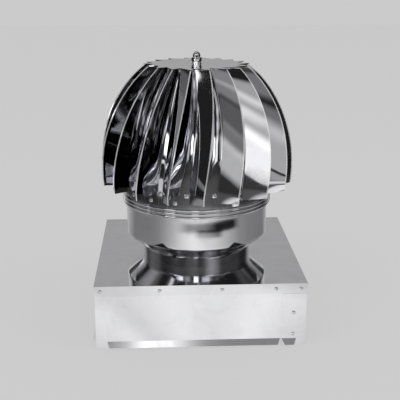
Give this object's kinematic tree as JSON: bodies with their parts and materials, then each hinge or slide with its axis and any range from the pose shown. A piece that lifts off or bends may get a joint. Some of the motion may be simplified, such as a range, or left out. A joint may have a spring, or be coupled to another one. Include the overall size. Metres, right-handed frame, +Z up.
{
  "type": "chimney cowl",
  "caption": "Rotating chimney cowl: louvred domed turbine head with toothed top disc on a beaded ring, round collar and neck, over a square riveted sheet-metal base.",
  "frame": {"origin": "centre of the square base's underside", "axes": "+Z up along the axis that the head turns about; the face with the front lap seam is -Y"},
  "size_m": [0.3126, 0.3142, 0.402],
  "materials": {
    "plate_steel": "mirror-polished stainless sheet",
    "skirt_steel": "mirror-polished stainless sheet",
    "neck_steel": "mirror-polished stainless sheet",
    "ring_steel": "mirror-polished stainless sheet",
    "disc_steel": "mirror-polished stainless sheet",
    "rivet_steel": "bright blind rivets",
    "nut_steel": "polished domed nut",
    "bracket_steel": "satin stainless plate",
    "bolt_steel": "plain steel bolts",
    "shaft_steel": "turned steel",
    "bearing_steel": "ground bearing steel",
    "blade_steel": "mirror-polished stainless sheet"
  },
  "bodies": {
    "base": {"bearing_housing": "bracket_steel", "bracket_rivets": "rivet_steel", "cross_bracket": "bracket_steel", "housing_bolts": "bolt_steel", "housing_circlip": "shaft_steel", "housing_nuts": "bolt_steel", "lower_bearing_balls": "bearing_steel", "lower_bearing_outer_ring": "bearing_steel", "neck_collar": "neck_steel", "neck_pipe": "neck_steel", "plate_rivets": "rivet_steel", "seam_rivets": "rivet_steel", "skirt_back_right": "skirt_steel", "skirt_front_left": "skirt_steel", "top_plate": "plate_steel", "upper_bearing_balls": "bearing_steel", "upper_bearing_outer_ring": "bearing_steel"},
    "rotor": {"acorn_nut": "nut_steel", "bearing_spacer": "shaft_steel", "blade_01": "blade_steel", "blade_02": "blade_steel", "blade_03": "blade_steel", "blade_04": "blade_steel", "blade_05": "blade_steel", "blade_06": "blade_steel", "blade_07": "blade_steel", "blade_08": "blade_steel", "blade_09": "blade_steel", "blade_10": "blade_steel", "blade_11": "blade_steel", "blade_12": "blade_steel", "blade_13": "blade_steel", "blade_14": "blade_steel", "blade_15": "blade_steel", "blade_16": "blade_steel", "blade_17": "blade_steel", "blade_18": "blade_steel", "hub": "bracket_steel", "lower_bearing_inner_ring": "bearing_steel", "ring_rivets_lower": "rivet_steel", "ring_rivets_upper": "rivet_steel", "ring_stiffener": "ring_steel", "rotor_ring": "ring_steel", "rotor_shaft": "shaft_steel", "shaft_circlip": "shaft_steel", "spring_washer": "nut_steel", "top_disc": "disc_steel", "top_washer": "nut_steel", "upper_bearing_inner_ring": "bearing_steel"}
  },
  "joints": [
    {"name": "rotor_spin", "type": "hinge", "parent": "base", "child": "rotor", "pos_m": [0, 0, 0.3], "axis": [0, 0, 1], "continuous": true}
  ]
}
